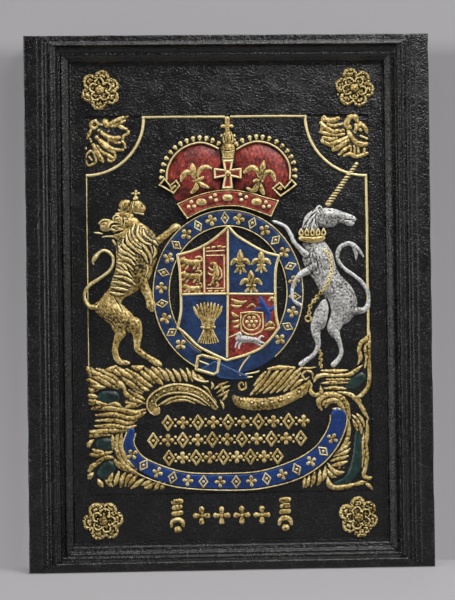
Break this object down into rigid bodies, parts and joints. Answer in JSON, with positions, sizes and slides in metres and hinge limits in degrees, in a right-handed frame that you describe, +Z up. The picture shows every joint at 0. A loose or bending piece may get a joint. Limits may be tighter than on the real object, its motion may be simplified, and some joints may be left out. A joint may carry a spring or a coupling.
{
  "type": "stove plate",
  "caption": "Upright cast-iron stove front plate with a moulded frame and a painted heraldic relief of crown, belted shield, lion and unicorn on a sunk field.",
  "frame": {"origin": "middle of the bottom edge, halfway through the depth", "axes": "+X to the right as seen from the front, +Z up, decorated face towards -Y"},
  "size_m": [0.5, 0.048, 0.66],
  "materials": {
    "black_paint": "satin",
    "gilt_paint": "satin",
    "red_paint": "satin",
    "blue_paint": "satin",
    "ribbon_blue_paint": "satin",
    "green_paint": "satin",
    "white_paint": "satin"
  },
  "bodies": {
    "root": {"back_plate": "black_paint", "side_band_left": "black_paint", "side_band_right": "black_paint", "top_band": "black_paint", "bottom_band": "black_paint", "moulding_left": "black_paint", "moulding_right": "black_paint", "moulding_top": "black_paint", "moulding_bottom": "black_paint", "margin_left": "black_paint", "margin_right": "black_paint", "frieze": "black_paint", "base_strip": "black_paint", "groove_rib_left_outer": "black_paint", "groove_rib_left_inner": "black_paint", "groove_rib_right_inner": "black_paint", "groove_rib_right_outer": "black_paint", "border_fillet": "gilt_paint", "rosette_top_left": "gilt_paint", "rosette_top_right": "gilt_paint", "rosette_bottom_left": "gilt_paint", "rosette_bottom_right": "gilt_paint", "corner_shell_left": "gilt_paint", "corner_shell_right": "gilt_paint", "crown_arches": "gilt_paint", "crown_pearls": "gilt_paint", "crown_pillar": "gilt_paint", "crown_lilies": "gilt_paint", "crown_end_crosses": "gilt_paint", "rim_jewels": "gilt_paint", "belt_edges": "gilt_paint", "belt_buckle": "gilt_paint", "shield_rim": "gilt_paint", "shield_beasts": "gilt_paint", "shield_lilies": "gilt_paint", "shield_sheaf": "gilt_paint", "small_shield": "gilt_paint", "lion": "gilt_paint", "lion_crown": "gilt_paint", "unicorn_horn": "gilt_paint", "unicorn_collar": "gilt_paint", "ribbon_edges": "gilt_paint", "crescents": "gilt_paint", "leaf_work_left": "gilt_paint", "scroll_work_right": "gilt_paint", "ornament_rows": "gilt_paint", "strip_flowers": "gilt_paint", "crown_cap": "red_paint", "crown_rim": "red_paint", "crown_cross": "red_paint", "quarter_beasts": "red_paint", "quarter_hound": "red_paint", "belt_strap": "blue_paint", "belt_tail": "blue_paint", "quarter_lilies": "blue_paint", "quarter_sheaf": "blue_paint", "ribbon_band": "ribbon_blue_paint", "green_stones": "green_paint", "unicorn": "white_paint", "running_hound": "white_paint"}
  },
  "joints": []
}
